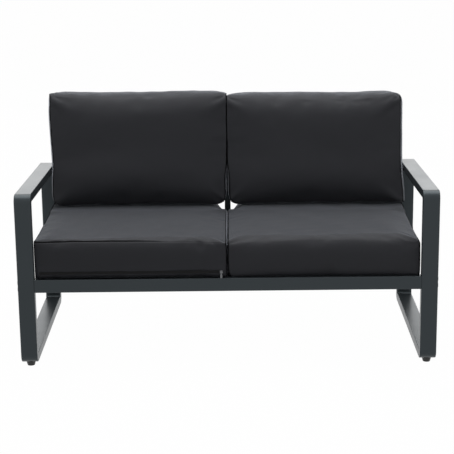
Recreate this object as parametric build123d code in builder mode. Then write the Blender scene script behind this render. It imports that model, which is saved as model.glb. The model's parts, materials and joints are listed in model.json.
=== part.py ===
from build123d import *

import os
from math import atan, cos, radians, sin, tan

os.makedirs("parts", exist_ok=True)

# Patio loveseat, millimetres, +Z up, +Y to the back, left at -X.
# Origin: centre of the whole object's box, on the floor.

# Side loops: closed rings of flat tube, one at each end, whose arms slope down to the back
overall_width = 1260.0
loop_depth = 630.0
arm_height = 540.0
arm_drop = 30.0
tube_width = 50.0
tube_depth = 25.0
tube_wall = 2.0
tube_edge = 2.5
loop_corner = 25.0
loop_inner_corner = 6.0

# Feet: tapered glides on threaded studs
foot_height = 14.0
foot_top_diameter = 30.0
foot_base_diameter = 22.0
foot_inset = 34.0
foot_travel = 10.0
stud_diameter = 8.0
stud_embedded = 9.0
stud_grip = 9.0
insert_diameter = 12.0
insert_length = 14.0
insert_collar_diameter = 16.0
insert_collar_height = 3.0

# Seat frame: rails between the loops, bearers and slats
rail_top_height = 279.0
rail_height = 40.0
rail_depth = 25.0
rail_wall = 2.0
rail_edge = 1.5
bearer_width = 25.0
slat_count = 5
slat_width = 50.0
slat_thickness = 10.0
slat_wall = 1.5

# Backrest: stiles that lean back from the rear rail, slats and a top rail
recline = 8.0
stile_width = 20.0
stile_depth = 25.0
stile_wall = 1.8
backrest_rise = 380.0
top_rail_height = 20.0
back_slat_count = 4
back_slat_share = 0.73
back_slat_thickness = 10.0
first_back_slat_gap = 29.0

# Screws, washers, threaded blocks and plugs that hold the loops on
screw_diameter = 6.0
screw_length = 20.0
screw_head_diameter = 10.5
screw_head_height = 3.3
screw_spacing = 20.0
socket_width = 4.0
socket_depth = 2.0
washer_diameter = 12.0
washer_thickness = 1.6
block_length = 30.0
nut_diameter = 9.0
nut_length = 13.0
nut_bulge_diameter = 12.0
nut_bulge_length = 3.0
stile_screw_rise = 27.0
stile_screw_spacing = 30.0
access_diameter = 13.0
plug_flange_diameter = 16.0
plug_flange_thickness = 1.0
plug_length = 7.0

# Cushions: covers over a foam or fibre filling
seat_cushion_thickness = 120.0
seat_cushion_crown = 8.0
seat_cushion_setback = 2.0
seat_cushion_rear_gap = 27.0
seat_low_edge = 14.0
seat_top_edge = 20.0
back_cushion_height = 342.0
back_cushion_thickness = 178.0
back_cushion_crown = 16.0
back_low_edge = 14.0
back_top_edge = 24.0
seat_corner = 12.0
back_corner = 26.0
cushion_side_gap = 2.0
cushion_middle_gap = 1.0
cover_thickness = 1.5

# Zips: a chain across one side of each cover, a slider and its pull
zip_rise = 20.0
zip_height = 8.0
zip_thickness = 1.2
front_zip_margin = 2.0
rear_zip_margin = 24.0
slider_width = 8.0
slider_height = 9.0
slider_thickness = 2.5
lug_thickness = 1.2
pin_diameter = 1.4
pin_standoff = 2.1
pin_drop = 2.0
pull_knuckle_diameter = 3.4
pull_knuckle_width = 3.4
pull_width = 6.0
pull_thickness = 1.2
pull_length = 16.5
pull_corner = 1.5

# Clearances
soft_gap = 0.3
fit_gap = 0.1
screw_gap = 0.15
pull_gap = 0.25
overrun = 10.0

# Worked out: widths and heights
outer_x = overall_width / 2
inner_x = outer_x - tube_width
loop_x = outer_x - tube_width / 2
loop_bottom = foot_height + soft_gap
arm_slope = atan(arm_drop / loop_depth)
rail_length = 2 * inner_x
rail_bottom_height = rail_top_height - rail_height
slat_bottom_height = rail_top_height - slat_thickness
bearer_height = slat_bottom_height - rail_bottom_height

# Worked out: the backrest's lean
lean = radians(recline)
backrest_length = backrest_rise / cos(lean)
corner_loss = rail_edge * (sin(lean) + cos(lean) - 1)
backrest_reach = backrest_length * sin(lean) + stile_depth * cos(lean) - corner_loss

# Worked out: places from front to back
seat_bottom_height = rail_top_height + soft_gap
seat_top_height = seat_bottom_height + seat_cushion_thickness
slider_base = zip_thickness + soft_gap
slider_top = slider_base + slider_thickness
pin_height = slider_top + pin_standoff
pull_reach = pin_height + pull_knuckle_diameter / 2
front_reach = max(pull_reach - seat_cushion_setback, 0)
back_reach = loop_depth - rail_depth + backrest_reach
front_y = (front_reach - back_reach) / 2
back_y = front_y + loop_depth
rear_rail_y = back_y - rail_depth
bearer_length = loop_depth - 2 * rail_depth

# Worked out: how far up the lean the back cushions stand on the seat cushions
back_rest_rise = seat_top_height + soft_gap - rail_top_height
back_foot_y = (back_rest_rise + back_low_edge * (1 - sin(lean))) / cos(lean) - back_low_edge

# The backrest's plane: its slats' front faces lie in it, and its normal leans to the front
back_plane = Plane(
    origin=(0, rear_rail_y, rail_top_height),
    x_dir=(1, 0, 0),
    z_dir=(0, -cos(lean), sin(lean)),
)


def finish(builder, name):
    """Labels a finished piece and writes it to its own file."""
    builder.part.label = name
    export_step(builder.part, f"parts/{name}.step")


def side_sign(side):
    return -1 if side == "left" else 1


def low_x(side, inner, outer):
    """The lower X of a span that lies between inner and outer on one side."""
    return -outer if side == "left" else inner


# Screw places, as (y, z) pairs on each loop
front_screw_y = front_y + tube_depth / 2
rear_screw_y = back_y - tube_depth / 2
rail_middle_z = rail_top_height - rail_height / 2
front_screws = [(front_screw_y, rail_middle_z + s * screw_spacing / 2) for s in (-1, 1)]
rear_screws = [(rear_screw_y, rail_middle_z + s * screw_spacing / 2) for s in (-1, 1)]
stile_screw_y = back_y - tube_wall - access_diameter / 2
stile_screws = [
    (stile_screw_y, rail_top_height + stile_screw_rise),
    (stile_screw_y, rail_top_height + stile_screw_rise + stile_screw_spacing),
]
leg_points = {"front_leg": front_screws, "back_leg": rear_screws + stile_screws}
foot_ys = {"front": front_y + foot_inset, "back": back_y - foot_inset}


def screw_planes(side):
    """A plane on the leg's inner wall, at the mouth of its hollow, facing out of the part."""
    sign = side_sign(side)
    return Plane(
        origin=(sign * (inner_x + tube_wall), 0, 0), x_dir=(0, sign, 0), z_dir=(sign, 0, 0)
    )


def screw_points(side, points):
    """The screws' places in the coordinates of the side's screw plane."""
    return [(side_sign(side) * y, z) for y, z in points]


def loop_corners(inset):
    """The corners of a loop's side view, moved in by inset from its outer faces. They start at
    the front on the floor and go up, back and down."""
    y0 = front_y + inset
    y1 = back_y - inset
    low_z = loop_bottom + inset
    top_z = arm_height - inset / cos(arm_slope)
    front_z = top_z - inset * tan(arm_slope)
    back_z = top_z - (loop_depth - inset) * tan(arm_slope)
    return [(y0, low_z), (y0, front_z), (y1, back_z), (y1, low_z)]


def loop_ring(plane, width, outer_inset, outer_radius, inner_inset, inner_radius):
    """A solid ring between two insets of a loop's side view."""
    with BuildPart() as ring:
        with BuildSketch(plane) as outer:
            with BuildLine():
                Polyline(*loop_corners(outer_inset), close=True)
            make_face()
            fillet(outer.vertices(), radius=outer_radius)
        extrude(amount=width)
        with BuildSketch(plane) as inner:
            with BuildLine():
                Polyline(*loop_corners(inner_inset), close=True)
            make_face()
            fillet(inner.vertices(), radius=inner_radius)
        extrude(amount=width, mode=Mode.SUBTRACT)
    return ring.part


loop_pieces = ["front_leg", "arm", "back_leg", "floor_bar"]


def mitre_outline(piece):
    """The outline that cuts one tube from the whole ring. It ends on the lines that halve the
    corners, and runs past the tube's inner and outer faces."""
    outer = loop_corners(-overrun)
    inner = loop_corners(tube_depth + overrun)
    first = loop_pieces.index(piece)
    last = (first + 1) % len(loop_pieces)
    return [outer[first], inner[first], inner[last], outer[last]]


def loop_tube(side, piece):
    """One mitred tube of a loop. A leg has screw holes inside and larger access holes outside."""
    start = low_x(side, inner_x, outer_x)
    outside = Plane.YZ.offset(start)
    solid_ring = loop_ring(outside, tube_width, 0, loop_corner, tube_depth, loop_inner_corner)
    hollow_ring = loop_ring(
        outside.offset(tube_wall),
        tube_width - 2 * tube_wall,
        tube_wall,
        loop_corner - tube_wall,
        tube_depth - tube_wall,
        loop_inner_corner + tube_wall,
    )
    with BuildPart() as tube:
        add(solid_ring)
        fillet(tube.faces().filter_by(Axis.X).edges(), radius=tube_edge)
        add(hollow_ring, mode=Mode.SUBTRACT)
        with BuildSketch(outside.offset(-overrun)):
            with BuildLine():
                Polyline(*mitre_outline(piece), close=True)
            make_face()
        extrude(amount=tube_width + 2 * overrun, mode=Mode.INTERSECT)
        if piece in leg_points:
            inner_wall = screw_planes(side)
            outer_wall = inner_wall.offset(tube_width - 2 * tube_wall)
            with BuildSketch(inner_wall):
                with Locations(*screw_points(side, leg_points[piece])):
                    Circle(screw_diameter / 2 + screw_gap)
            extrude(amount=-tube_wall, mode=Mode.SUBTRACT)
            with BuildSketch(outer_wall):
                with Locations(*screw_points(side, leg_points[piece])):
                    Circle(access_diameter / 2)
            extrude(amount=tube_wall, mode=Mode.SUBTRACT)
        if piece == "floor_bar":
            with BuildSketch(Plane.XY.offset(loop_bottom)):
                with Locations(*[(side_sign(side) * loop_x, y) for y in foot_ys.values()]):
                    Circle(insert_diameter / 2 + fit_gap)
            extrude(amount=tube_wall, mode=Mode.SUBTRACT)
    finish(tube, f"{side}_{piece}")


for side in ("left", "right"):
    for piece in loop_pieces:
        loop_tube(side, piece)


# Feet: each glide is moulded round a stud that screws into the floor bar.
# Unscrewed by its full travel, a stud still has its grip in the insert.
stud_length = stud_embedded + foot_travel + stud_grip


def foot(side, end):
    x = side_sign(side) * loop_x
    y = foot_ys[end]
    with BuildPart() as glide:
        with BuildSketch(Plane.XY):
            with Locations((x, y)):
                Circle(foot_base_diameter / 2)
        with BuildSketch(Plane.XY.offset(foot_height)):
            with Locations((x, y)):
                Circle(foot_top_diameter / 2)
        loft()
        with BuildSketch(Plane.XY.offset(foot_height)):
            with Locations((x, y)):
                Circle(stud_diameter / 2 + fit_gap)
        extrude(amount=-stud_embedded, mode=Mode.SUBTRACT)
    finish(glide, f"foot_glide_{end}_{side}")
    with BuildPart() as stud:
        with BuildSketch(Plane.XY.offset(foot_height - stud_embedded)):
            with Locations((x, y)):
                Circle(stud_diameter / 2)
        extrude(amount=stud_length)
    finish(stud, f"foot_stud_{end}_{side}")


for side in ("left", "right"):
    for end in ("front", "back"):
        foot(side, end)

foot_places = [(s * loop_x, y) for s in (-1, 1) for y in foot_ys.values()]
with BuildPart() as foot_inserts:
    with BuildSketch(Plane.XY.offset(loop_bottom)):
        with Locations(*foot_places):
            Circle(insert_diameter / 2)
    extrude(amount=insert_length)
    with BuildSketch(Plane.XY.offset(loop_bottom + tube_wall)):
        with Locations(*foot_places):
            Circle(insert_collar_diameter / 2)
    extrude(amount=insert_collar_height)
    with BuildSketch(Plane.XY.offset(loop_bottom)):
        with Locations(*foot_places):
            Circle(stud_diameter / 2 + screw_gap)
    extrude(amount=insert_length, mode=Mode.SUBTRACT)
finish(foot_inserts, "foot_inserts")


# Seat frame
def rail(name, start_y):
    """A hollow rail between the loops, its ends against the legs."""
    with BuildPart() as tube:
        with BuildSketch(Plane.YZ.offset(-inner_x)):
            with Locations((start_y + rail_depth / 2, rail_middle_z)):
                RectangleRounded(rail_depth, rail_height, rail_edge)
                Rectangle(rail_depth - 2 * rail_wall, rail_height - 2 * rail_wall, mode=Mode.SUBTRACT)
        extrude(amount=rail_length)
    finish(tube, name)


rail("front_rail", front_y)
rail("rear_rail", rear_rail_y)

with BuildPart() as end_blocks:
    for side in ("left", "right"):
        sign = side_sign(side)
        for y, points in ((front_screw_y, front_screws), (rear_screw_y, rear_screws)):
            with BuildSketch(Plane.YZ.offset(sign * inner_x)):
                with Locations((y, rail_middle_z)):
                    Rectangle(
                        rail_depth - 2 * (rail_wall + fit_gap),
                        rail_height - 2 * (rail_wall + fit_gap),
                    )
                with Locations(*points):
                    Circle(screw_diameter / 2 + screw_gap, mode=Mode.SUBTRACT)
            extrude(amount=-sign * block_length)
finish(end_blocks, "rail_end_blocks")


def bearer(name, middle_x):
    """A hollow tube from the front rail to the rear rail, under the slats."""
    middle_z = rail_bottom_height + bearer_height / 2
    with BuildPart() as tube:
        with BuildSketch(Plane.XZ.offset(-(front_y + rail_depth))):
            with Locations((middle_x, middle_z)):
                RectangleRounded(bearer_width, bearer_height, rail_edge)
                Rectangle(
                    bearer_width - 2 * rail_wall, bearer_height - 2 * rail_wall, mode=Mode.SUBTRACT
                )
        extrude(amount=-bearer_length)
    finish(tube, name)


bearer("side_bearer_left", -(inner_x - bearer_width / 2))
bearer("side_bearer_right", inner_x - bearer_width / 2)
bearer("centre_bearer", 0)

slat_gap = (bearer_length - slat_count * slat_width) / (slat_count + 1)
for index in range(slat_count):
    middle_y = front_y + rail_depth + slat_gap * (index + 1) + slat_width * (index + 0.5)
    with BuildPart() as slat:
        with BuildSketch(Plane.YZ.offset(-inner_x)):
            with Locations((middle_y, slat_bottom_height + slat_thickness / 2)):
                RectangleRounded(slat_width, slat_thickness, rail_edge)
                Rectangle(
                    slat_width - 2 * slat_wall, slat_thickness - 2 * slat_wall, mode=Mode.SUBTRACT
                )
        extrude(amount=rail_length)
    finish(slat, f"seat_slat_{index + 1}")


# Backrest: worked out in its own plane, with y up the lean and z to the front
stile_length = backrest_length - top_rail_height


def stile(name, middle_x, setback):
    """A hollow stile, cut level where it stands on the rear rail."""
    depth = stile_depth - setback
    length = stile_length + overrun
    face = back_plane.offset(-setback)
    up = Axis(back_plane.origin, back_plane.y_dir)
    with BuildPart() as tube:
        with BuildSketch(face):
            with Locations((middle_x, stile_length - length / 2)):
                Rectangle(stile_width, length)
        extrude(amount=-depth)
        fillet(tube.edges().filter_by(up), radius=rail_edge)
        with BuildSketch(face.offset(-stile_wall)):
            with Locations((middle_x, stile_length - length / 2)):
                Rectangle(stile_width - 2 * stile_wall, length)
        extrude(amount=-(depth - 2 * stile_wall), mode=Mode.SUBTRACT)
        split(bisect_by=Plane.XY.offset(rail_top_height), keep=Keep.TOP)
        if middle_x != 0:
            outwards = 1 if middle_x > 0 else -1
            with BuildSketch(Plane.YZ.offset(middle_x + outwards * (stile_width / 2 - stile_wall))):
                with Locations(*stile_screws):
                    Circle(nut_diameter / 2 + fit_gap)
            extrude(amount=outwards * stile_wall, mode=Mode.SUBTRACT)
    finish(tube, name)


stile("back_stile_left", -(inner_x - stile_width / 2), 0)
stile("back_stile_right", inner_x - stile_width / 2, 0)
stile("back_stile_centre", 0, back_slat_thickness)


def backrest_bar(name, low_y, height, depth, wall, length):
    """A hollow bar across the backrest, its front face in the backrest's plane."""
    section = Plane(
        origin=(-length / 2, rear_rail_y, rail_top_height),
        x_dir=back_plane.y_dir,
        z_dir=back_plane.x_dir,
    )
    with BuildPart() as bar:
        with BuildSketch(section):
            with Locations((low_y + height / 2, -depth / 2)):
                RectangleRounded(height, depth, rail_edge)
                Rectangle(height - 2 * wall, depth - 2 * wall, mode=Mode.SUBTRACT)
        extrude(amount=length)
    finish(bar, name)


backrest_bar(
    "back_top_rail", stile_length, top_rail_height, stile_depth, stile_wall, rail_length
)
back_slat_length = rail_length - 2 * stile_width
first_slat_y = back_foot_y + zip_rise + slider_height / 2 + first_back_slat_gap
back_slat_pitch = (stile_length - first_slat_y) / back_slat_count
for index in range(back_slat_count):
    backrest_bar(
        f"back_slat_{index + 1}",
        first_slat_y + index * back_slat_pitch,
        back_slat_pitch * back_slat_share,
        back_slat_thickness,
        slat_wall,
        back_slat_length,
    )

# Screws, washers, rivet nuts and plugs
leg_screws = front_screws + rear_screws + stile_screws
with BuildPart() as screws:
    for side in ("left", "right"):
        seat = screw_planes(side).offset(washer_thickness)
        with BuildSketch(seat):
            with Locations(*screw_points(side, leg_screws)):
                Circle(screw_diameter / 2)
        extrude(amount=-screw_length)
        with BuildSketch(seat):
            with Locations(*screw_points(side, leg_screws)):
                Circle(screw_head_diameter / 2)
        extrude(amount=screw_head_height)
        with BuildSketch(seat.offset(screw_head_height)):
            with Locations(*screw_points(side, leg_screws)):
                RegularPolygon(socket_width / 2, 6, major_radius=False)
        extrude(amount=-socket_depth, mode=Mode.SUBTRACT)
finish(screws, "loop_screws")

with BuildPart() as washers:
    for side in ("left", "right"):
        with BuildSketch(screw_planes(side)):
            with Locations(*screw_points(side, leg_screws)):
                Circle(washer_diameter / 2)
                Circle(screw_diameter / 2 + screw_gap, mode=Mode.SUBTRACT)
        extrude(amount=washer_thickness)
finish(washers, "loop_washers")

with BuildPart() as rivet_nuts:
    for side in ("left", "right"):
        mouth = screw_planes(side).offset(-tube_wall)
        with BuildSketch(mouth):
            with Locations(*screw_points(side, stile_screws)):
                Circle(nut_diameter / 2)
        extrude(amount=-nut_length)
        with BuildSketch(mouth.offset(-stile_wall)):
            with Locations(*screw_points(side, stile_screws)):
                Circle(nut_bulge_diameter / 2)
        extrude(amount=-nut_bulge_length)
        with BuildSketch(mouth):
            with Locations(*screw_points(side, stile_screws)):
                Circle(screw_diameter / 2 + screw_gap)
        extrude(amount=-nut_length, mode=Mode.SUBTRACT)
finish(rivet_nuts, "stile_rivet_nuts")

with BuildPart() as plugs:
    for side in ("left", "right"):
        face = screw_planes(side).offset(tube_width - tube_wall)
        with BuildSketch(face):
            with Locations(*screw_points(side, leg_screws)):
                Circle(plug_flange_diameter / 2)
        extrude(amount=plug_flange_thickness)
        with BuildSketch(face):
            with Locations(*screw_points(side, leg_screws)):
                Circle(access_diameter / 2 - fit_gap)
        extrude(amount=-plug_length)
finish(plugs, "access_plugs")


# Cushions
def pillow(base, width, length, thickness, crown, corner, low_edge, top_edge, inset):
    """A soft block on a base plane, crowned across its width and rounded at every edge."""
    floor = base.offset(inset)
    end = Plane(origin=floor.origin, x_dir=floor.x_dir, z_dir=-floor.y_dir)
    half = width / 2 - inset
    thick = thickness - 2 * inset
    shoulder = thick - crown
    upright = Axis(floor.origin, floor.z_dir)
    with BuildPart() as block:
        with BuildSketch(end):
            with BuildLine():
                Polyline((-half, shoulder), (-half, 0), (half, 0), (half, shoulder))
                ThreePointArc((half, shoulder), (0, thick), (-half, shoulder))
            make_face()
        extrude(amount=length / 2 - inset, both=True)
        fillet(block.edges().filter_by(upright), radius=corner - inset)
        fillet(block.faces().sort_by(upright)[-1].edges(), radius=top_edge - inset)
        fillet(block.faces().sort_by(upright)[0].edges(), radius=low_edge - inset)
    return block.part


def cushion(name, *sizes):
    """A cover as a closed shell, and the filling inside it, with a pillow's sizes."""
    outside = pillow(*sizes, 0)
    inside = pillow(*sizes, cover_thickness)
    filling = pillow(*sizes, cover_thickness + fit_gap)
    with BuildPart() as cover:
        add(outside)
        add(inside, mode=Mode.SUBTRACT)
    finish(cover, f"{name}_cover")
    with BuildPart() as core:
        add(filling)
    finish(core, f"{name}_core")


cushion_width = inner_x - cushion_side_gap - cushion_middle_gap
cushion_x = cushion_middle_gap + cushion_width / 2
seat_front_y = front_y + seat_cushion_setback
seat_back_y = back_y - seat_cushion_rear_gap
seat_middle_y = (seat_front_y + seat_back_y) / 2
seat_cushion_depth = seat_back_y - seat_front_y


def seat_base(side):
    return Plane(origin=(side_sign(side) * cushion_x, seat_middle_y, seat_bottom_height))


def back_base(side):
    """The flat rear side of a back cushion, just clear of the backrest's plane."""
    flat = back_plane.offset(soft_gap)
    place = flat.from_local_coords(
        (side_sign(side) * cushion_x, back_foot_y + back_cushion_height / 2, 0)
    )
    return Plane(origin=place, x_dir=back_plane.x_dir, z_dir=back_plane.z_dir)


for side in ("left", "right"):
    cushion(
        f"seat_cushion_{side}",
        seat_base(side),
        cushion_width,
        seat_cushion_depth,
        seat_cushion_thickness,
        seat_cushion_crown,
        seat_corner,
        seat_low_edge,
        seat_top_edge,
    )
    cushion(
        f"back_cushion_{side}",
        back_base(side),
        cushion_width,
        back_cushion_height,
        back_cushion_thickness,
        back_cushion_crown,
        back_corner,
        back_low_edge,
        back_top_edge,
    )

# Zips: each is worked out on a plane on the cover, with x along the zip towards the end
# where its slider waits when it is closed, which is nearer the middle of the seat
front_zip_length = cushion_width - 2 * (seat_corner + front_zip_margin)
seat_zip_length = cushion_width - 2 * (seat_corner + rear_zip_margin)
back_zip_length = cushion_width - 2 * (back_corner + rear_zip_margin)


def front_zip_plane(side):
    place = (side_sign(side) * cushion_x, seat_front_y, seat_bottom_height + zip_rise)
    return Plane(origin=place, x_dir=(-side_sign(side), 0, 0), z_dir=(0, -1, 0))


def seat_zip_plane(side):
    place = (side_sign(side) * cushion_x, seat_back_y, seat_bottom_height + zip_rise)
    return Plane(origin=place, x_dir=(-side_sign(side), 0, 0), z_dir=(0, 1, 0))


def back_zip_plane(side):
    flat = back_plane.offset(soft_gap)
    place = flat.from_local_coords((side_sign(side) * cushion_x, back_foot_y + zip_rise, 0))
    return Plane(origin=place, x_dir=(-side_sign(side), 0, 0), z_dir=-back_plane.z_dir)


zips = {
    "seat_cushion_left": (front_zip_plane("left"), front_zip_length),
    "seat_cushion_right": (seat_zip_plane("right"), seat_zip_length),
    "back_cushion_left": (back_zip_plane("left"), back_zip_length),
    "back_cushion_right": (back_zip_plane("right"), back_zip_length),
}


def across_zip(face, x):
    """The plane across a zip at x, with its x along the face's y and its y outwards."""
    return Plane(
        origin=face.from_local_coords((x, 0, 0)), x_dir=face.y_dir, z_dir=face.x_dir
    )


def zip_set(name, face, zip_length):
    """The chain, and at its closed end the slider and the pull that hangs from its pin."""
    x = (zip_length - slider_width) / 2
    hang = 1 if face.y_dir.Z > 0 else -1
    pin_y = -hang * pin_drop
    with BuildPart() as chain:
        with BuildSketch(face):
            Rectangle(zip_length, zip_height)
        extrude(amount=zip_thickness)
    finish(chain, f"zip_{name}")
    lug_x = pull_knuckle_width / 2 + pull_gap
    lug_outer_x = lug_x + lug_thickness
    with BuildPart() as slider:
        with BuildSketch(face.offset(slider_base)):
            with Locations((x, 0)):
                RectangleRounded(slider_width, slider_height, pull_corner)
        extrude(amount=slider_thickness)
        for lug_start in (-lug_outer_x, lug_x):
            with BuildSketch(across_zip(face, x + lug_start)):
                with Locations((pin_y, (slider_base + pin_height) / 2)):
                    Rectangle(pull_knuckle_diameter, pin_height - slider_base)
                with Locations((pin_y, pin_height)):
                    Circle(pull_knuckle_diameter / 2)
            extrude(amount=lug_thickness)
        with BuildSketch(across_zip(face, x - lug_x)):
            with Locations((pin_y, pin_height)):
                Circle(pin_diameter / 2)
        extrude(amount=2 * lug_x)
    finish(slider, f"zip_slider_{name}")
    tab_length = pull_length - slider_height / 2
    with BuildPart() as pull:
        with BuildSketch(across_zip(face, x - pull_knuckle_width / 2)):
            with Locations((pin_y, pin_height)):
                Circle(pull_knuckle_diameter / 2)
        extrude(amount=pull_knuckle_width)
        with BuildSketch(face.offset(pin_height - pull_thickness / 2)):
            with Locations((x, pin_y - hang * pull_length / 2)):
                Rectangle(pull_knuckle_width, pull_length)
            with Locations((x, pin_y - hang * (pull_length - tab_length / 2))):
                RectangleRounded(pull_width, tab_length, pull_corner)
        extrude(amount=pull_thickness)
        with BuildSketch(across_zip(face, x - pull_knuckle_width / 2)):
            with Locations((pin_y, pin_height)):
                Circle(pin_diameter / 2 + pull_gap)
        extrude(amount=pull_knuckle_width, mode=Mode.SUBTRACT)
    finish(pull, f"zip_pull_{name}")


for name, (face, zip_length) in zips.items():
    zip_set(name, face, zip_length)
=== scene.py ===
# %% [markdown]
# # A patio loveseat
# The seat has an aluminium frame, two side loops with slats between them, and four loose
# cushions. The frame comes ready made, as fixed meshes at their real size. This lesson gives
# those meshes their finish, and makes what only looks right as cloth: the cushions, their seams
# and their folds. Lengths are in metres, +Z is up, and the seat faces -Y.

# %% Load the frame
import json
import math

import bpy
import numpy as np
from mathutils import Matrix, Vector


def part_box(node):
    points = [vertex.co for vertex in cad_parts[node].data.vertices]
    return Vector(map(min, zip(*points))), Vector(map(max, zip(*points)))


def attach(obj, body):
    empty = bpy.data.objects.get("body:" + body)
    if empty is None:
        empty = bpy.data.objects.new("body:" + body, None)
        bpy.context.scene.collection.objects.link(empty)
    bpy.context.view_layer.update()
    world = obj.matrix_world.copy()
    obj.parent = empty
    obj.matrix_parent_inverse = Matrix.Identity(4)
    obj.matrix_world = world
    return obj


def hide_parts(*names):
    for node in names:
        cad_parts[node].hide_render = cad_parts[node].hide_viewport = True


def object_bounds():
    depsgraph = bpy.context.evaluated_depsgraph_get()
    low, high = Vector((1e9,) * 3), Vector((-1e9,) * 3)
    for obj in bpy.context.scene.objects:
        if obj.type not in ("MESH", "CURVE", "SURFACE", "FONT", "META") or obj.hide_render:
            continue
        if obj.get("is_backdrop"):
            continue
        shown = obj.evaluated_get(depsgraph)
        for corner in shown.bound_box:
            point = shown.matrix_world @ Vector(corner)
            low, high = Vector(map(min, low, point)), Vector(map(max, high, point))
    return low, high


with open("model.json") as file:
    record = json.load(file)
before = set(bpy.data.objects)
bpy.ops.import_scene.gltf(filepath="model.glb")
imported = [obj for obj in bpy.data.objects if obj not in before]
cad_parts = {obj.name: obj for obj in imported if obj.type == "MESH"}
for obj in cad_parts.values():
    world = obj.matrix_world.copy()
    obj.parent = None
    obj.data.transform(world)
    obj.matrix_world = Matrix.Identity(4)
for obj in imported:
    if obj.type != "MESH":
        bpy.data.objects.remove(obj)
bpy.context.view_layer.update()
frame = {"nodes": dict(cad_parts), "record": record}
MM = 0.001
CUSHIONS = [f"{kind}_cushion_{side}" for kind in ("seat", "back") for side in ("left", "right")]

# %% [markdown]
# ## The camera
# A product photograph is usually taken from some way off with a long lens, so that the near leg
# isn't drawn much larger than the far one. The lens here is about 112 mm, four metres in front
# of the seat. Three small angles aim it, and its place is counted from the front legs' feet.

# %% Camera
LENS_PIXELS, IMAGE_PIXELS, SENSOR_MM = 1411.45, 454, 36.0
CAMERA_YAW, CAMERA_PITCH, CAMERA_ROLL = (math.radians(v) for v in (-0.27, 14.46, -0.66))
CAMERA_ASIDE, CAMERA_AHEAD, CAMERA_ABOVE = 18.8 * MM, 4050.3 * MM, 1467.7 * MM
front_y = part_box("left_front_leg")[0].y
loop_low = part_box("left_floor_bar")[0].z
camera_place = (CAMERA_ASIDE, front_y - CAMERA_AHEAD, loop_low + CAMERA_ABOVE)


def camera_axes(yaw, pitch, roll):
    """Right, up and backward: forward turns by yaw and dips by pitch, then the other two roll."""
    level_forward = np.array([math.sin(yaw), math.cos(yaw), 0.0])
    forward = level_forward * math.cos(pitch) - np.array([0.0, 0.0, math.sin(pitch)])
    level = np.array([math.cos(yaw), -math.sin(yaw), 0.0])
    upright = np.cross(level, forward)
    right = math.cos(roll) * level + math.sin(roll) * upright
    up = math.cos(roll) * upright - math.sin(roll) * level
    return np.array([right, up, -forward])


def placed(axes, origin):
    """A 4 x 4 matrix whose columns are three axes and a place."""
    matrix = np.eye(4)
    matrix[:3, :3] = np.asarray(axes).T
    matrix[:3, 3] = origin
    return Matrix(matrix.tolist())


lens = bpy.data.cameras.new("camera")
lens.sensor_width = SENSOR_MM
lens.lens = LENS_PIXELS / IMAGE_PIXELS * SENSOR_MM
camera = bpy.data.objects.new("camera", lens)
bpy.context.scene.collection.objects.link(camera)
camera.matrix_world = placed(camera_axes(CAMERA_YAW, CAMERA_PITCH, CAMERA_ROLL), camera_place)
bpy.context.scene.camera = camera
print("lens", round(lens.lens, 1), "mm at", [round(v, 3) for v in camera_place])

# %% [markdown]
# ## Material helpers
# A material is a small graph of nodes. These helpers keep each graph short to write: one adds a
# node with its settings and inputs, and the others are the sums, colours and bumps used most.
# What is the same all over a surface is set on the shader itself.

# %% Node helpers
def new_material(name):
    """A material, its node tree and its shader."""
    material = bpy.data.materials.new(name)
    material.use_nodes = True
    tree = material.node_tree
    return material, tree, tree.nodes["Principled BSDF"]


def node(tree, kind, settings=None, **inputs):
    """Adds a node. Inputs are values or sockets, and i0 means the first input."""
    made = tree.nodes.new(kind)
    for key, value in (settings or {}).items():
        setattr(made, key, value)
    for key, value in inputs.items():
        by_number = key[0] == "i" and key[1:].isdigit()
        socket = made.inputs[int(key[1:]) if by_number else key]
        if isinstance(value, bpy.types.NodeSocket):
            tree.links.new(value, socket)
        else:
            socket.default_value = value
    return made


def sums(tree, operation, first, second=0.0):
    """One Math node's result."""
    return node(tree, "ShaderNodeMath", {"operation": operation}, i0=first, i1=second).outputs[0]


def weighed(tree, *pairs):
    """The sum of some values, each times its weight."""
    products = [sums(tree, "MULTIPLY", value, weight) for value, weight in pairs]
    total = products[0]
    for product in products[1:]:
        total = sums(tree, "ADD", total, product)
    return total


def spread(tree, factor, width, lowest):
    """A value that runs from the lowest up by the width as the factor runs from 0 to 1."""
    return sums(tree, "ADD", sums(tree, "MULTIPLY", factor, width), lowest)


def coordinates(tree, output):
    """Texture coordinates: Object is the place in metres, UV the piece's own flat map."""
    return tree.nodes.new("ShaderNodeTexCoord").outputs[output]


def noise(tree, scale, detail, roughness):
    """Fractal noise from 0 to 1 in object coordinates, with scale waves to the metre."""
    return node(tree, "ShaderNodeTexNoise", Vector=coordinates(tree, "Object"), Scale=scale,
                Detail=detail, Roughness=roughness).outputs["Fac"]


def ramp(tree, factor, low, high):
    """A colour that runs from low to high as the factor runs from 0 to 1."""
    made = node(tree, "ShaderNodeMix", {"data_type": "RGBA"},
                i0=factor, i6=(*low, 1), i7=(*high, 1))
    return made.outputs[2]


def bump(tree, height, distance, strength):
    """A bent normal, as if the height stood proud of the surface by the distance."""
    made = node(tree, "ShaderNodeBump", Strength=strength, Distance=distance, Height=height)
    return made.outputs["Normal"]


def connect(tree, shader, links, plain=None):
    """Links each named socket of the shader, and sets those that are plain numbers or colours."""
    for socket, value in links.items():
        tree.links.new(value, shader.inputs[socket])
    for socket, value in (plain or {}).items():
        shader.inputs[socket].default_value = value


# %% [markdown]
# ## Powder-coated tube
# Powder coat is a baked plastic paint. It is matt to satin, has a very fine orange-peel skin,
# and reflects the bright room strongly where it is seen at a low angle, as on the arms' tops.
# Two noises in object coordinates make it: a fine one for the skin, and a broad one for slight
# unevenness in the gloss.

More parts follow.
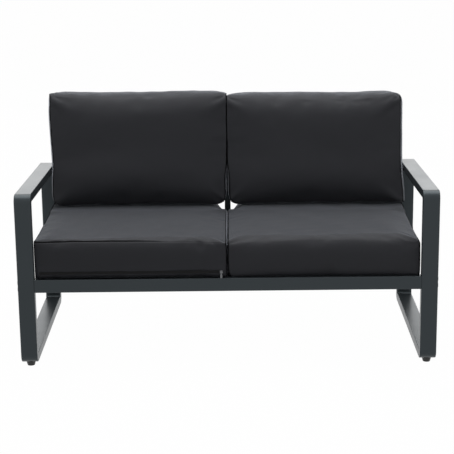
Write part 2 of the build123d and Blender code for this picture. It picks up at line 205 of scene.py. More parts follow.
# %% Frame finish
COAT_DARK, COAT_LIGHT = (0.018, 0.0218, 0.0244), (0.031, 0.0368, 0.0405)
COAT_ROUGHNESS, COAT_GLOSS_SPREAD, COAT_SKIN = 0.34, 0.12, 0.12 * MM


def powder_coat(name):
    """Colour and gloss follow the broad noise, and the bump follows the fine one."""
    material, tree, shader = new_material(name)
    skin = noise(tree, 900.0, 3.0, 0.6)
    patch = noise(tree, 9.0, 4.0, 0.55)
    shade = weighed(tree, (patch, 0.7), (skin, 0.3))
    lowest = COAT_ROUGHNESS - COAT_GLOSS_SPREAD / 2
    connect(tree, shader, {
        "Base Color": ramp(tree, shade, COAT_DARK, COAT_LIGHT),
        "Roughness": spread(tree, patch, COAT_GLOSS_SPREAD, lowest),
        "Normal": bump(tree, skin, COAT_SKIN, 0.35),
    }, {"IOR": 1.52, "Specular Tint": (0.80, 0.93, 1.0, 1)})
    return material


frame_finish = powder_coat("powder_coat")

# %% [markdown]
# ## Small hard materials
# Feet and hole plugs are black moulded plastic with a faint grain. Screws, studs and inserts are
# zinc-plated steel, which has a fine crystalline unevenness. The end blocks are plain aluminium,
# and the zip's slider and pull are cast zinc. The four differ only in their numbers.

# %% Plastic and metal
GRAIN_GLOSS_SPREAD = 0.2


def grained(name, dark, light, roughness, metal, grain_scale, depth):
    """A material whose colour, gloss and skin all follow one fine noise."""
    material, tree, shader = new_material(name)
    grain = noise(tree, grain_scale, 4.0, 0.6)
    lowest = roughness - GRAIN_GLOSS_SPREAD / 2
    connect(tree, shader, {
        "Base Color": ramp(tree, grain, dark, light),
        "Roughness": spread(tree, grain, GRAIN_GLOSS_SPREAD, lowest),
        "Normal": bump(tree, grain, depth, 0.5),
    }, {"Metallic": metal})
    return material


black_plastic = grained("black_plastic", (0.006, 0.006, 0.006), (0.014, 0.014, 0.014),
                        roughness=0.5, metal=0.0, grain_scale=700.0, depth=0.2 * MM)
zinc_plate = grained("zinc_plate", (0.42, 0.43, 0.44), (0.62, 0.62, 0.61),
                     roughness=0.35, metal=1.0, grain_scale=260.0, depth=0.05 * MM)
plain_aluminium = grained("plain_aluminium", (0.6, 0.6, 0.61), (0.74, 0.74, 0.74),
                          roughness=0.32, metal=1.0, grain_scale=340.0, depth=0.05 * MM)
cast_zinc = grained("cast_zinc", (0.10, 0.105, 0.11), (0.19, 0.195, 0.20),
                    roughness=0.38, metal=0.9, grain_scale=500.0, depth=0.1 * MM)

# %% [markdown]
# ## The zips
# A cushion zip is a nylon coil sewn on to woven tape. Only its middle shows: a row of coil turns
# every 1.4 mm, and a strip of tape on both sides. The turns are a rectified sine along the zip,
# kept to a narrow band round its middle line. The back cushions' zips lean, so the height on the
# tape is measured along the lean, as the dot product of a place and the lean's direction.

# %% Zip finish
COIL_PITCH, COIL_HALF_WIDTH, COIL_HEIGHT = 1.4 * MM, 1.7 * MM, 0.6 * MM
TAPE_DARK, COIL_LIGHT = (0.004, 0.004, 0.0045), (0.014, 0.014, 0.015)
RECLINE = math.radians(8.0)
LEVEL_UP, LEAN = (0.0, 0.0, 1.0), (0.0, math.sin(RECLINE), math.cos(RECLINE))


def zip_chain(name, upward, zip_node):
    """Coil turns where a place is near the zip's middle line, and fine weave everywhere."""
    low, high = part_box(zip_node)
    middle = sum(a * (b + c) / 2 for a, b, c in zip(upward, low, high))
    material, tree, shader = new_material(name)
    place = coordinates(tree, "Object")
    rise = node(tree, "ShaderNodeVectorMath", {"operation": "DOT_PRODUCT"}, i0=place, i1=upward)
    away = sums(tree, "ABSOLUTE", sums(tree, "SUBTRACT", rise.outputs["Value"], middle))
    along = node(tree, "ShaderNodeSeparateXYZ", Vector=place).outputs["X"]
    wave = sums(tree, "SINE", sums(tree, "MULTIPLY", along, math.pi / COIL_PITCH))
    turns = sums(tree, "ABSOLUTE", wave)
    coil = sums(tree, "MULTIPLY", sums(tree, "LESS_THAN", away, COIL_HALF_WIDTH), turns)
    weave = sums(tree, "MULTIPLY", noise(tree, 1600.0, 2.0, 0.6), 0.4)
    height = sums(tree, "ADD", coil, weave)
    # Colour follows the height: lighter on each coil turn's crest and darker between the turns,
    # which is painted shade.
    connect(tree, shader, {
        "Base Color": ramp(tree, height, TAPE_DARK, COIL_LIGHT),
        "Normal": bump(tree, height, COIL_HEIGHT, 0.8),
    }, {"Roughness": 0.75, "Specular IOR Level": 0.25})
    return material


seat_zip = zip_chain("seat_zip_chain", LEVEL_UP, "zip_seat_cushion_left")
back_zip = zip_chain("back_zip_chain", LEAN, "zip_back_cushion_left")

# %% [markdown]
# ## Dressing the frame
# Every ready-made piece names its material slot, so one table and one loop finish them all. The
# cushions' covers and fillings get nothing here, because the cloth replaces them.

# %% Finish for each slot
SLOT_FINISH = {
    "frame": frame_finish,
    "glide_plastic": black_plastic,
    "zinc_steel": zinc_plate,
    "block_aluminium": plain_aluminium,
    "zip_metal": cast_zinc,
}
finished = 0
for part in frame["record"]["subparts"]:
    finish = SLOT_FINISH.get(part["material_slot"])
    if part["material_slot"] == "zip_tape":
        finish = back_zip if "back" in part["node"] else seat_zip
    if finish:
        shown = frame["nodes"][part["node"]]
        shown.data.materials.clear()
        shown.data.materials.append(finish)
        finished += 1
print("finished nodes", finished)

# %% [markdown]
# ## Woven cover cloth
# Outdoor cushions have a plain weave of spun-dyed polyester: each thread goes over one and under
# the next. The weave is drawn from the cloth's own UV map, in metres, so that it follows the
# cushion round its corners. Two rectified sine waves are the threads, and the sign of their
# product says which is on top. Yarns differ a little in colour, which makes the cloth look
# heathered close by and plain from afar. Its fine fibres catch the light at a low angle, which
# is the sheen on the seats.

# %% Cloth
THREAD, THREAD_HEIGHT = 1.3 * MM, 0.25 * MM
CLOTH_DARK, CLOTH_LIGHT = (0.0108, 0.0113, 0.0142), (0.0242, 0.0252, 0.0308)


def woven(name, dark, light, sheen, gloss):
    """A plain weave whose colour follows the yarns and a broad cloudiness, and is darker in the
    dips between the threads, which is painted shade.
    """
    material, tree, shader = new_material(name)
    flat = node(tree, "ShaderNodeSeparateXYZ", Vector=coordinates(tree, "UV"))
    turns = [sums(tree, "MULTIPLY", flat.outputs[axis], math.pi / THREAD) for axis in "XY"]
    both_waves = [sums(tree, "SINE", turn) for turn in turns]
    over = sums(tree, "GREATER_THAN", sums(tree, "MULTIPLY", *both_waves), 0.0)
    warp, weft = (sums(tree, "ABSOLUTE", wave) for wave in both_waves)
    top = node(tree, "ShaderNodeMix", {"data_type": "FLOAT"}, i0=over, i2=warp, i3=weft)
    height = top.outputs[0]
    yarn, cloud = noise(tree, 420.0, 2.0, 0.7), noise(tree, 11.0, 5.0, 0.6)
    # The thread height lightens each thread's crest and darkens the dips between threads: painted
    # shade.
    shade = weighed(tree, (yarn, 0.45), (cloud, 0.30), (height, 0.25))
    connect(tree, shader, {
        "Base Color": ramp(tree, shade, dark, light),
        "Normal": bump(tree, height, THREAD_HEIGHT, 0.35),
        "Roughness": spread(tree, yarn, 0.14, 0.62),
    }, {"Specular IOR Level": gloss, "Sheen Weight": sheen, "Sheen Roughness": 0.35,
        "Sheen Tint": (0.85, 0.9, 1.0, 1)})
    return material


cover_cloth = woven("cover_cloth", CLOTH_DARK, CLOTH_LIGHT, sheen=0.9, gloss=0.36)

# %% [markdown]
# ## A cushion's surface as a grid
# The surface of a box is six grids that share their edges. Keeping the three counting numbers of
# every point makes the rest easy: a point knows which panel it is on and how far it is from a
# seam, and the points on a box's edge are the seam itself. The lines crowd near the seams, where
# the cloth bends most.

# %% Grid of a box's surface
CROWDING = 0.85


def crowded(cells):
    """Shares from -1 to 1: sines of evenly spaced angles, scaled to end at 1."""
    angle = np.linspace(-1, 1, cells + 1) * CROWDING * math.pi / 2
    return np.sin(angle) / math.sin(CROWDING * math.pi / 2)


def box_grid(cells):
    """Points of a box's surface as shares from -1 to 1, the quads, each quad's panel axis, and
    each point's three counting numbers. A point is on the surface if one number is at an end."""
    counts = np.array(cells) + 1
    lattice = np.stack(np.meshgrid(*[np.arange(n) for n in counts], indexing="ij"), -1)
    outside = ((lattice == 0) | (lattice == counts - 1)).any(-1)
    number = np.full(counts, -1)
    number[outside] = np.arange(outside.sum())
    quads, panels = [], []
    for axis in range(3):
        for end in (0, -1):
            sheet = np.take(number, end, axis)
            ring = (sheet[:-1, :-1], sheet[1:, :-1], sheet[1:, 1:], sheet[:-1, 1:])
            quad = np.stack(ring, -1).reshape(-1, 4)
            quads.append(quad[:, ::-1] if (end == 0) != (axis == 1) else quad)
            panels.append(np.full(len(quad), axis))
    counted = lattice[outside]
    shares = np.stack([crowded(n)[counted[:, axis]] for axis, n in enumerate(cells)], -1)
    return shares, np.concatenate(quads), np.concatenate(panels), counted


def side_rim(shares):
    """True for the points on the seams round the two side panels."""
    return (np.abs(shares[:, 0]) == 1) & (np.abs(shares[:, 1:]) == 1).any(1)


def rounded_corners(flat, half, radius):
    """Rounds a rectangle's corners. Past the rectangle made smaller by the radius, the way out
    is scaled by its longer side over its length, which turns a square corner into an arc."""
    inner = np.clip(flat, -(half - radius), half - radius)
    way = flat - inner
    length = np.maximum(np.linalg.norm(way, axis=1, keepdims=True), 1e-9)
    return inner + way * np.abs(way).max(1, keepdims=True) / length


# %% [markdown]
# Blender keeps a mesh's numbers in long flat lists. These helpers carry them to and from numpy
# arrays in one go, which is far quicker than a loop over the points.

# %% Mesh helpers
def make_mesh(name, points, faces, finish, smooth=True):
    """A mesh object from an array of points and a list of faces, at the origin."""
    mesh = bpy.data.meshes.new(name)
    mesh.from_pydata(points.tolist(), [], faces)
    mesh.polygons.foreach_set("use_smooth", np.full(len(mesh.polygons), smooth))
    mesh.materials.append(finish)
    mesh.update()
    made = bpy.data.objects.new(name, mesh)
    bpy.context.scene.collection.objects.link(made)
    return made


def read_rows(items, key):
    """A place or a normal for each item, as the rows of an array."""
    values = np.empty(len(items) * 3)
    items.foreach_get(key, values)
    return values.reshape(-1, 3)


def move_points(made, points):
    """Gives the mesh's points new places."""
    made.data.vertices.foreach_set("co", points.reshape(-1))
    made.data.update()


def shown_mesh(made):
    """The mesh as its modifiers leave it."""
    return made.evaluated_get(bpy.context.evaluated_depsgraph_get()).to_mesh()


def add_uv(made, flat, quads, panels):
    """A UV map in metres: each panel takes the two flat coordinates that lie in it."""
    across = np.where(panels == 0, 1, 0)[:, None]
    upward = np.where(panels == 2, 1, 2)[:, None]
    corner = flat[quads]
    rows, columns = np.arange(len(quads))[:, None], np.arange(4)[None, :]
    pair = np.stack((corner[rows, columns, across], corner[rows, columns, upward]), -1)
    made.data.uv_layers.new(name="cloth").data.foreach_set("uv", pair.reshape(-1))


# %% [markdown]
# ## Where each cushion lies
# Each cushion's place comes from the frame. Its solid is turned into the cushion's own axes:
# across, along and through. A seat cushion lies flat. A back cushion leans back, so its second
# axis goes up the lean and its third comes out of the backrest.

# %% Cushion axes
UPRIGHT_AXES = np.eye(3)
LEANING_AXES = np.array([(1, 0, 0), LEAN, (0, -math.cos(RECLINE), math.sin(RECLINE))])


def solid_limits(name, axes):
    """Lowest and highest corner of a cushion's solid, measured along the given axes."""
    local = read_rows(frame["nodes"][f"{name}_cover"].data.vertices, "co") @ axes.T
    return local.min(0), local.max(0)


place_of = {}
for name in CUSHIONS:
    cushion_axes = LEANING_AXES if name.startswith("back") else UPRIGHT_AXES
    low, high = solid_limits(name, cushion_axes)
    place_of[name] = (cushion_axes, (low + high) / 2, (high - low) / 2)
    print(name, "half sizes", np.round(place_of[name][2], 4))

# %% [markdown]
# ## Blowing a cushion up
# Foam pushes the cover out evenly, so the panels bulge between the seams. Blender's cloth does
# this with pressure. The cover starts a little small, gravity is off, and twenty frames are
# enough. The seams are held with a soft pin. How far a point may move is capped with a smooth
# curve, so that no panel balloons.

# %% Cloth simulation
PUFF_FRAMES, HOLD_STRENGTH = 20, 0.7
CLOTH_RULES = {
    "quality": 4, "mass": 0.25, "tension_stiffness": 18, "compression_stiffness": 18,
    "shear_stiffness": 8, "bending_stiffness": 1.5, "use_pressure": True,
    "uniform_pressure_force": 4.0, "vertex_group_mass": "held", "pin_stiffness": 0.6,
}


def inflate(made, cap, held):
    """Runs cloth with pressure on the mesh, and moves each point by its travel, capped as
    cap times the hyperbolic tangent of travel over cap."""
    start = read_rows(made.data.vertices, "co")
    group = made.vertex_groups.new(name="held")
    group.add(np.nonzero(held)[0].tolist(), HOLD_STRENGTH, "REPLACE")
    cloth = made.modifiers.new("Cloth", "CLOTH")
    for key, value in CLOTH_RULES.items():
        setattr(cloth.settings, key, value)
    cloth.settings.effector_weights.gravity = 0
    cloth.collision_settings.use_collision = False
    cloth.point_cache.frame_start, cloth.point_cache.frame_end = 1, PUFF_FRAMES
    scene = bpy.context.scene
    for number in range(1, PUFF_FRAMES + 1):
        scene.frame_set(number)
    travel = read_rows(shown_mesh(made).vertices, "co") - start
    made.modifiers.remove(cloth)
    made.vertex_groups.remove(group)
    scene.frame_set(1)
    length = np.maximum(np.linalg.norm(travel, axis=1, keepdims=True), 1e-9)
    print(made.name, "largest travel before the cap", round(float(length.max()) / MM, 1), "mm")
    return start + travel / length * cap * np.tanh(length / cap)


# %% [markdown]
# ## The shape before it is blown up
# A cover starts as a box with its edges rounded, each edge by its own radius. The left seat
# cushion has its zipped side in front, so its top front edge is sharp, and the right one has its
# wrapped side there. Each back cushion has two or three round corners and one or two that stand
# out. Each row below holds four radii in mm, and a fourth of a cushion takes one by whether it
# is below or above the middle on the first axis, then on the second.

# %% Edge radii
ALONG_THROUGH = {
    "seat_cushion_left": (13, 5, 14, 12), "seat_cushion_right": (12, 24, 14, 12),
    "back_cushion_left": (10, 14, 18, 32), "back_cushion_right": (10, 14, 18, 32),
}
ACROSS_ALONG = {
    "seat_cushion_left": (6, 14, 8, 12), "seat_cushion_right": (10, 12, 14, 14),
    "back_cushion_left": (30, 3, 32, 20), "back_cushion_right": (32, 18, 3, 25),
}
ACROSS_THROUGH = {
    "seat_cushion_left": (10, 6, 12, 12), "seat_cushion_right": (28, 8, 12, 20),
    "back_cushion_left": (8, 20, 8, 14), "back_cushion_right": (8, 14, 8, 28),
}
SMALLER = 5.0 * MM


def shaped(name, shares, half):
    """The box's points with the edges rounded in three turns, one for each pair of axes."""
    start = half - SMALLER
    points = shares * start
    turns = (((1, 2), ALONG_THROUGH), ((0, 1), ACROSS_ALONG), ((0, 2), ACROSS_THROUGH))
    for pair, radii in turns:
        fourth = 2 * (shares[:, pair[0]] > 0) + (shares[:, pair[1]] > 0)
        radius = np.array(radii[name])[fourth][:, None] * MM
        points[:, pair] = rounded_corners(points[:, pair], start[list(pair)], radius)
    return points


# %% [markdown]
# ## The shape afterwards
# Blown up, the cover is stretched to fill its solid's box, because the cap and the rounding
# leave it a little small. Then come the things that its neighbours do to it. Slats press its
# underside flat. The back cushion presses the rear of the seat flat, and its own foot spreads on
# the seat. The sides pull in between the corners, and the top edges dip by the few millimetres
# that the tables give. Each table holds shares of the way along, and beside them lengths in mm:
# heights above the solid's foot for the top lines, and ways out for the bulge of a side.

# %% Stretching and top lines
SEAT_FRONT_HEIGHTS = {
    "seat_cushion_left": ((-0.97, -0.57, 0.05, 0.6, 0.98), (114, 118, 116, 112, 104)),
    "seat_cushion_right": ((-0.95, -0.6, -0.25, 0.3, 0.85), (104, 110, 113, 111, 105)),
}
BACK_TOP_HEIGHTS = {
    "back_cushion_left": ((-0.9, -0.4, 0.2, 0.87), (361.4, 355.4, 356.4, 358.4)),
    "back_cushion_right": ((-0.86, -0.45, 0.1, 0.4, 0.86), (351.4, 350.4, 348.4, 346.4, 352.0)),
}
OUTER_SIDE_BULGE = {
    "back_cushion_left": ((-1, -0.6, -0.34, 0.3, 0.7, 1), (0, 1, 0, 5, 8, 3)),
    "back_cushion_right": ((-1, -0.8, -0.5, -0.34, 1), (9, 7, 1, 0, 0)),
}
HOLD_ENDS = 0.9
SIDE_SQUEEZE, TOUCHING = 5.0 * MM, 0.85 * MM


def step(value, start, end):
    """A smooth step from 0 at start to 1 at end: 3 t squared less 2 t cubed."""
    t = np.clip((value - start) / (end - start), 0, 1)
    return t * t * (3 - 2 * t)


def from_table(table, share):
    """The table's length at each share, in metres, on straight lines between its rows."""
    return np.interp(share, table[0], np.array(table[1]) * MM)


def stretched(points, half, sink):
    """Each axis is scaled so that the points span the box. Through, they also reach sink below
    its low side, which is cut off later."""
    sunk = np.array((0, 0, sink))
    low, high = points.min(0), points.max(0)
    return (points - low) / (high - low) * (2 * half + sunk) - half - sunk


def top_line_shift(heights, column, across, table):
    """How far each column of points has to rise for its highest point to meet the table's line.
    Past HOLD_ENDS the last shift is kept, so that a rounded corner stays round."""
    top = np.full(column.max() + 1, -1.0)
    np.maximum.at(top, column, heights)
    place = np.zeros(len(top))
    place[column] = across
    held = np.abs(place) <= HOLD_ENDS
    return np.interp(across, place[held], (from_table(table, place) - top)[held])


def squeezed_sides(points, across, half, more=0.0):
    """Both ends are pressed out a little further than their room and cut flat by it, as an end
    is flat where it rests against a loop or against the other cushion. Where more is given, the
    room is a little wider, so that two cushions touch."""
    points[:, 0] += (SIDE_SQUEEZE + more) * np.sign(across) * np.abs(across) ** 6
    room = half[0] + np.minimum(more, TOUCHING)
    points[:, 0] = np.clip(points[:, 0], -room, room)
    return points


# %% [markdown]
# A seat cushion rests on the slats and on the front rail. Its front meets the top line of its
# table, and the front's underside hangs a little lower. Its rear is pressed under the back
# cushion, and its soft inner rear corner gives way. The strip of cloth that carries the zip is
# drawn out to its solid's face, so that the zip lies on it.

# %% Seat cushions
SEAT_SINK, FRONT_LINE_REACH = 10 * MM, 90 * MM
LIP_DROP, LIP_REACH = 7 * MM, 45 * MM
PRESSED, REAR_SWELL, PRESSED_SPAN = 8.0 * MM, 12 * MM, (0.15, 0.5)
SOFT_CORNER_DROP, SOFT_CORNER_SPAN = 50.0 * MM, (58 * MM, 6 * MM)
ZIP_RISE, ZIP_BAND = 20 * MM, 10 * MM


def settled_seat(name, points, shares, counted, half):
    """A seat cushion: flat underside, flat rear top, and the front top line of its table."""
    across, along, through = shares.T
    points = stretched(points, half, SEAT_SINK)
    from_front = points[:, 1] + half[1]
    front_edge = (counted[:, 1] == 0) & (counted[:, 2] == counted[:, 2].max())
    height = np.where(front_edge, points[:, 2] + half[2], -1.0)
    shift = top_line_shift(height, counted[:, 0], across, SEAT_FRONT_HEIGHTS[name])
    near_front = np.exp(-from_front / FRONT_LINE_REACH) * (through + 1) / 2
    points[:, 2] += shift * near_front
    points = squeezed_sides(points, across, half)
    points[:, 2] -= LIP_DROP * np.exp(-from_front / LIP_REACH) * step(through, 0.0, -0.8)

    pressed = step(along, *PRESSED_SPAN)
    points[:, 2] += REAR_SWELL * pressed * step(through, 0.2, 1.0)
    points[:, 2] = np.minimum(points[:, 2], half[2] - PRESSED * pressed)
    inner = 1 if name.endswith("left") else -1
    from_inner = half[0] - inner * points[:, 0]
    soft_corner = step(from_inner, *SOFT_CORNER_SPAN) * step(along, 0.30, 0.85)
    points[:, 2] -= SOFT_CORNER_DROP * soft_corner * step(through, -0.6, 0.9)

    zip_side = -inner
    from_zip = points[:, 2] + half[2] - ZIP_RISE
    near_zip = np.exp(-(from_zip / ZIP_BAND) ** 4) * (along * zip_side > 0.96)
    near_zip = near_zip * step(np.abs(across), 0.99, 0.95)
    points[:, 1] += near_zip * (zip_side * half[1] - points[:, 1])
    return np.clip(points, -half, half)


# %% [markdown]
# A back cushion leans, but its foot stands level on the seat, so its lower part is sheared and
# spreads forward. Its front has a low belly. Its inner side is pressed against the other back
# cushion above the foot, and its outer side bulges where nothing holds it.

# %% Back cushions
BACK_SINK, FOOT_SPREAD = 5 * MM, 14 * MM
BELLY, BELLY_PLACE, BELLY_WIDTH = 6 * MM, -0.55, 0.35
INNER_PRESS, INNER_PRESS_SPAN = 9 * MM, (-0.6, -0.2)
FOOT_BULGE_TOP = -0.34


def settled_back(name, points, shares, counted, half):
    """A back cushion: its foot is sheared level with the seat, and its top meets its table."""
    across, along, through = shares.T
    points = stretched(points, half, BACK_SINK)
    low_share = ((1 - along) / 2) ** 2
    sheared = (points[:, 2] + half[2]) * math.tan(RECLINE) * low_share
    points[:, 1] -= sheared + FOOT_SPREAD * low_share ** 2
    belly = np.exp(-((along - BELLY_PLACE) / BELLY_WIDTH) ** 2)
    points[:, 2] += BELLY * belly * step(through, 0.0, 1.0)

    outer = -1 if name.endswith("left") else 1
    press = INNER_PRESS * (across * outer < 0) * step(along, *INNER_PRESS_SPAN)
    points = squeezed_sides(points, across, half, press)
    bulge = from_table(OUTER_SIDE_BULGE[name], along) * step(across * outer, 0.6, 1.0)
    at_foot = np.where(along < FOOT_BULGE_TOP, step(through, -0.3, 0.6), 1.0)
    points[:, 0] += outer * bulge * at_foot

    rise = points[:, 1] * math.cos(RECLINE) + points[:, 2] * math.sin(RECLINE)
    foot = -half[1] * math.cos(RECLINE) - half[2] * math.sin(RECLINE)
    shift = top_line_shift(rise - foot, counted[:, 0], across, BACK_TOP_HEIGHTS[name])
    points[:, 1] += shift * ((1 + along) / 2) ** 2
    points[:, 2] = np.maximum(points[:, 2], -half[2])
    return points


# %% [markdown]
# ## Folds and dents
# Sewn cloth is never quite even. Close to a seam it puckers in short ripples, and over a whole
# panel it has a few broad, shallow dents. All are sums of sine waves with fixed, seeded
# directions. The ripples fade with the distance to the seam. A few single folds and dimples are
# placed one by one: pinches at the inner end of the left seat's front, and a row of dimples along
# the top of the right back cushion.

# %% Waves
SEAM_DEPTH, FOLD_DEPTH = 1.8 * MM, 3.0 * MM
PUCKER_REACH, PUCKER_START, ZIP_PUCKER_REACH = 16 * MM, 3 * MM, 14 * MM
PINCHES = ((0.60, 0.35, 24), (0.76, -0.5, 20), (0.86, 0.6, 26), (0.94, -0.3, 22))
DIMPLES = ((-0.10, 0.90), (0.29, 0.95), (0.48, 0.88), (0.60, 0.90))
PINCH_WIDTH, DIMPLE_WIDTH, SOFT_EDGE_REACH = 6 * MM, 13 * MM, 45 * MM
RIPPLE, BROAD, MOTTLE, EDGE_MOTTLE = 1.1, 1.2, 0.35, 0.7


def waves(points, count, shortest, longest, seed):
    """The mean of count sine waves, with random directions, lengths and phases, times the root
    of half their count, so that its unevenness doesn't shrink as the count grows."""
    chance = np.random.default_rng(seed)
    way = chance.normal(size=(count, 3))
    way /= np.linalg.norm(way, axis=1, keepdims=True)
    length = np.exp(chance.uniform(math.log(shortest), math.log(longest), count))
    phase = chance.uniform(0, 2 * math.pi, count)
    angle = points @ (way / length[:, None]).T * 2 * math.pi + phase
    return np.sin(angle).mean(1) * math.sqrt(count / 2)


def near_seam(reach):
    """How strongly the cloth puckers at a distance from a seam: none on it, most 6 mm off."""
    return np.exp(-reach / PUCKER_REACH) * (1 - np.exp(-reach / PUCKER_START))


# %% [markdown]
# The left seat's front is where most of this shows. Its top seam is a groove that fades to the
# right, the cloth puckers along it and along the zip, and four pinches run off it at a slant.

# %% Unevenness
def front_folds(points, across, from_front, from_top, below_zip, half, on_rim):
    """The left seat's front: how far each point goes in, and how much it puckers."""
    reach = np.hypot(from_front, from_top)
    fade = step(across, 0.75, -0.1) * 0.7 + 0.3
    puckers = 1.3 * near_seam(reach) * fade
    puckers = puckers + 0.9 * np.exp(-np.hypot(from_front, below_zip) / ZIP_PUCKER_REACH)
    inward = np.where((reach == 0) & ~on_rim, 2 * SEAM_DEPTH * fade, 0.0)
    for place, slope, reach_mm in PINCHES:
        line = place * half[0] + slope * (from_top - from_front)
        width = np.exp(-((points[:, 0] - line) / PINCH_WIDTH) ** 2)
        inward = inward + FOLD_DEPTH * width * np.exp(-reach / (reach_mm * MM))
    return inward, puckers


def unevenness(name, points, shares, half):
    """Each point's way out along its normal, in metres."""
    across, along, through = shares.T
    seams = near_seam((1 - np.abs(across)) * half[0])
    on_rim = side_rim(shares)
    out = np.where(on_rim, -SEAM_DEPTH, 0.0)
    from_front, from_top = (along + 1) * half[1], (1 - through) * half[2]
    if name == "seat_cushion_left":
        below_zip = (through + 1) * half[2] - ZIP_RISE
        inward, puckers = front_folds(points, across, from_front, from_top, below_zip, half, on_rim)
        out, seams = out - inward, seams + puckers
    if name == "back_cushion_right":
        for x, y in DIMPLES:
            gap = np.hypot((across - x) * half[0], (along - y) * half[1]) / DIMPLE_WIDTH
            out -= FOLD_DEPTH * np.exp(-gap ** 2) * (through > 0)
    is_seat = name.startswith("seat")
    from_edge = np.hypot(from_front, from_top) if is_seat else (1 - along) * half[1]
    mottling = MOTTLE + EDGE_MOTTLE * np.exp(-from_edge / SOFT_EDGE_REACH)
    number = CUSHIONS.index(name)
    ripple = waves(points * (1, 0.6, 1), 7, 26 * MM, 60 * MM, len(name) + 7)
    broad = waves(points, 6, 120 * MM, 420 * MM, 31 + number)
    mottle = waves(points, 9, 45 * MM, 110 * MM, 52 + number)
    return out + (RIPPLE * seams * ripple + BROAD * broad + mottling * mottle) * MM


# %% [markdown]
# ## The four covers
# The main panel of each cover wraps round it, and a side panel is sewn in at each end. One
# narrow side holds the zip. The weave's flat coordinates are taken from the unbent box, so the
# threads run straight along each panel. At the end a cover goes back from its own axes to its
# place on the seat, where its foot stays just clear of what it rests on.

# %% Covers
CELL = 9.5 * MM
PUFF_CAP = {"seat": 9.0 * MM, "back": 14.0 * MM}
NEIGHBOUR_GAP = 0.3 * MM


def make_cover(name):
    """One cover as cloth: shaped, blown up, settled, made uneven and put in its place."""
    axes, middle, half = place_of[name]
    kind = name.split("_")[0]
    shares, quads, panels, counted = box_grid(np.round(2 * half / CELL).astype(int))
    points = shaped(name, shares, half)
    made = make_mesh(f"{name}_cloth", points, quads.tolist(), cover_cloth)
    points = inflate(made, PUFF_CAP[kind], side_rim(shares))
    settled = settled_seat if kind == "seat" else settled_back
    points = settled(name, points, shares, counted, half)
    move_points(made, points)
    limit = np.maximum(np.abs(points[:, 0]), half[0])
    normals = read_rows(made.data.vertices, "normal")
    points = points + normals * unevenness(name, points, shares, half)[:, None]
    points[:, 0] = np.clip(points[:, 0], -limit, limit)
    points[:, 2] = np.maximum(points[:, 2], -half[2])
    world = (points + middle) @ axes
    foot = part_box(f"{name}_cover")[0].z + NEIGHBOUR_GAP - (PRESSED if kind == "back" else 0)
    world[:, 2] = np.maximum(world[:, 2], foot)
    move_points(made, world)
    add_uv(made, shares * half, quads, panels)
    finer = made.modifiers.new("Finer", "SUBSURF")
    finer.levels = finer.render_levels = 1
    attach(made, name)
    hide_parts(f"{name}_cover", f"{name}_core")
    print(made.name, "points", len(world), "box", np.round(world.min(0), 3),
          np.round(world.max(0), 3))
    return made, shares, counted


covers = {name: make_cover(name) for name in CUSHIONS}

# %% [markdown]
# ## The seams
# Where two panels are sewn together, their turned-in edges make a thin roll in a groove. It is a
# round tube carried along the seam: a ring of six points, turned so that it stands square to the
# path, at every point of the cover's edge. Its cloth is near black, with no sheen and almost no
# gloss, which is painted shade for the dark groove along the seam. The path is read from the
# finer, subdivided cover, so that the roll lies on the cloth. Each side panel's seam is a closed
# loop. The left seat's front seam is open and a little thicker, and its ends get thin and are
# closed.

# %% Seam rolls
ROLL_RADIUS, ROLL_SIDES = 1.7 * MM, 6
FRONT_SEAM_END, FRONT_SEAM_THICKER, FRONT_SEAM_TAPER = 0.35, 1.3, 8
# Near-black cloth with no sheen and almost no gloss: painted shade for the dark groove along a
# seam.
painted_seam_shade = woven("painted_seam_shade", (0.002, 0.002, 0.0022), (0.005, 0.005, 0.0055),
                   sheen=0.0, gloss=0.03)


def roll(path, normals, closed):
    """Points and faces of a tube along the path. Its ring is the radius times the cosine of an
    angle along the normal and its sine along the way across."""
    if closed:
        tangent = np.roll(path, -1, 0) - np.roll(path, 1, 0)
    else:
        tangent = np.gradient(path, axis=0)
    tangent /= np.linalg.norm(tangent, axis=1, keepdims=True)
    side = np.cross(tangent, normals)
    side /= np.linalg.norm(side, axis=1, keepdims=True)
    outward = np.cross(side, tangent)
    angle = (np.arange(ROLL_SIDES) / ROLL_SIDES * 2 * math.pi)[None, :, None]
    count = len(path)
    radius = np.full(count, ROLL_RADIUS)
    if not closed:
        last = count - 1
        ends = np.interp(np.arange(count), (0, 1, last - FRONT_SEAM_TAPER, last), (0.2, 1, 1, 0.15))
        radius *= FRONT_SEAM_THICKER * ends
    ring = np.cos(angle) * outward[:, None] + np.sin(angle) * side[:, None]
    points = (path[:, None] + ring * radius[:, None, None]).reshape(-1, 3)
    number = np.arange(count * ROLL_SIDES).reshape(count, ROLL_SIDES)
    rows = number if closed else number[:-1]
    following = np.roll(number, -1, 0)[:len(rows)]
    corners = (rows, following, np.roll(following, -1, 1), np.roll(rows, -1, 1))
    quads = np.stack(corners, -1).reshape(-1, 4)
    caps = [] if closed else [number[0].tolist(), number[-1][::-1].tolist()]
    return points, quads.tolist() + caps


def seam_paths(name, shares, counted):
    """The points of each seam in order, and whether the seam is a closed loop. The points round
    a side panel are ordered by their angle, and the front seam's by their number across."""
    paths = []
    for end in (-1, 1):
        ring = np.nonzero(side_rim(shares) & (shares[:, 0] == end))[0]
        angle = np.arctan2(shares[ring, 2], shares[ring, 1])
        paths.append((ring[np.argsort(angle)], True))
    if name == "seat_cushion_left":
        front_top = (shares[:, 1] == -1) & (shares[:, 2] == 1)
        edge = np.nonzero(front_top & (shares[:, 0] < FRONT_SEAM_END))[0]
        paths.append((edge[np.argsort(counted[edge, 0])], False))
    return paths


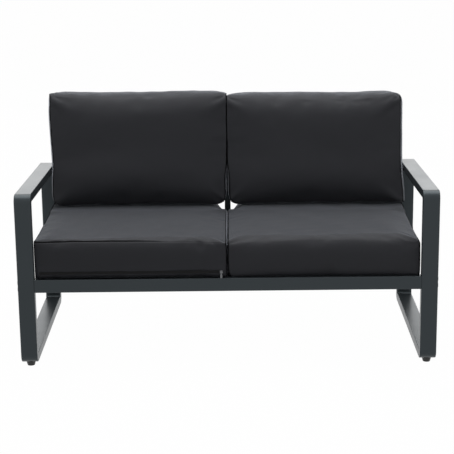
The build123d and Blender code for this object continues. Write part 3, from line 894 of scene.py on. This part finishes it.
def make_seams(name, cover, shares, counted):
    """All seams of one cover as one piece that goes with the cushion."""
    seen = shown_mesh(cover)
    place, normal = read_rows(seen.vertices, "co"), read_rows(seen.vertices, "normal")
    points, faces, start = [], [], 0
    for path, closed in seam_paths(name, shares, counted):
        some, polygons = roll(place[path], normal[path], closed)
        points.append(some)
        faces += [[number + start for number in polygon] for polygon in polygons]
        start += len(some)
    made = make_mesh(f"{name}_seams", np.concatenate(points), faces, painted_seam_shade)
    made.data.uv_layers.new(name="cloth")
    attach(made, name)
    print(made.name, "faces", len(faces))


for name, (cover, shares, counted) in covers.items():
    make_seams(name, cover, shares, counted)

# %% [markdown]
# ## Floor and light
# The photograph has a white background and next to no shadow. The floor is white to the camera
# and to reflections, with a part of its own shading left in, so that the object still casts a
# soft shadow. Most light comes from a large soft panel overhead, as in a photographer's tent. A
# second one stands behind. It lights the back, and the camera finds it in reflections at a low
# angle: it is what the arms' tops mirror. The world fills in from the sides.

# %% Floor
FLOOR_SIZE, FLOOR_SHADOW_SHARE, FLOOR_COLOUR, FLOOR_GLOW = 60.0, 0.02, 0.40, 1.01


def seen_directly(tree):
    """1 for rays from the camera, for mirror rays and for rays through glass, else 0."""
    path = tree.nodes.new("ShaderNodeLightPath")
    total = sums(tree, "ADD", path.outputs["Is Camera Ray"], path.outputs["Is Glossy Ray"])
    total = sums(tree, "ADD", total, path.outputs["Is Transmission Ray"])
    return sums(tree, "MINIMUM", total, 1.0)


def floor_finish():
    """A mix of a plain pale floor and a white glow, most of it glow where it is seen directly."""
    material, tree, shader = new_material("pale_floor")
    tree.nodes.remove(shader)
    plain = node(tree, "ShaderNodeBsdfDiffuse", Color=(FLOOR_COLOUR, FLOOR_COLOUR, FLOOR_COLOUR, 1))
    glow = node(tree, "ShaderNodeEmission", Strength=FLOOR_GLOW)
    mix = node(tree, "ShaderNodeMixShader", i1=plain.outputs[0], i2=glow.outputs[0])
    share = sums(tree, "MULTIPLY", seen_directly(tree), 1 - FLOOR_SHADOW_SHARE)
    tree.links.new(share, mix.inputs[0])
    tree.links.new(mix.outputs[0], tree.nodes["Material Output"].inputs["Surface"])
    return material


reach = FLOOR_SIZE / 2
square = ((-1, -1), (1, -1), (1, 1), (-1, 1))
floor_points = np.array([(x * reach, y * reach, 0) for x, y in square])
floor = make_mesh("floor", floor_points, [[0, 1, 2, 3]], floor_finish(), smooth=False)
floor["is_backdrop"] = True
print("floor", FLOOR_SIZE, "m wide")

# %% World and lamps
FILL_STRENGTH = 0.10

world = bpy.data.worlds.new("studio")
world.use_nodes = True
bpy.context.scene.world = world
sky = world.node_tree
brighter = sums(sky, "MULTIPLY", seen_directly(sky), 1 - FILL_STRENGTH)
backdrop = sky.nodes["Background"]
backdrop.inputs["Color"].default_value = (1, 1, 1, 1)
sky.links.new(sums(sky, "ADD", brighter, FILL_STRENGTH), backdrop.inputs["Strength"])


def panel(name, place, target, width, height, power):
    """A soft panel that faces the target, and that the camera doesn't see. Its width is level,
    and a panel that looks nearly straight down takes +Y as its guide instead of +Z."""
    lamp = bpy.data.lights.new(name, "AREA")
    lamp.shape = "RECTANGLE"
    lamp.size, lamp.size_y = width, height
    lamp.energy = power
    made = bpy.data.objects.new(name, lamp)
    made.visible_camera = False
    bpy.context.scene.collection.objects.link(made)
    back = np.array(place, float) - np.array(target, float)
    back /= np.linalg.norm(back)
    looks_down = abs(back[2]) > 0.7
    right = np.cross((0, 1, 0.001) if looks_down else (0, 0, 1), back)
    right /= np.linalg.norm(right)
    made.matrix_world = placed((right, np.cross(back, right), back), place)
    print(name, power, "W")


panel("overhead", (0, 0.25, 2.9), (0, 0.1, 0.4), width=3.4, height=3.0, power=78.0)
panel("behind", (0, 4.2, 1.5), (0, 0, 0.6), width=5.5, height=2.4, power=45.0)
bpy.context.scene.view_settings.view_transform = "Standard"

# %% [markdown]
# ## Sizes at the end
# The dressed model is about the size of the frame, apart from a little that cloth may stand
# proud. Its box is measured here, over every shown piece but the floor.

# %% Measure the size
low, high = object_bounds()
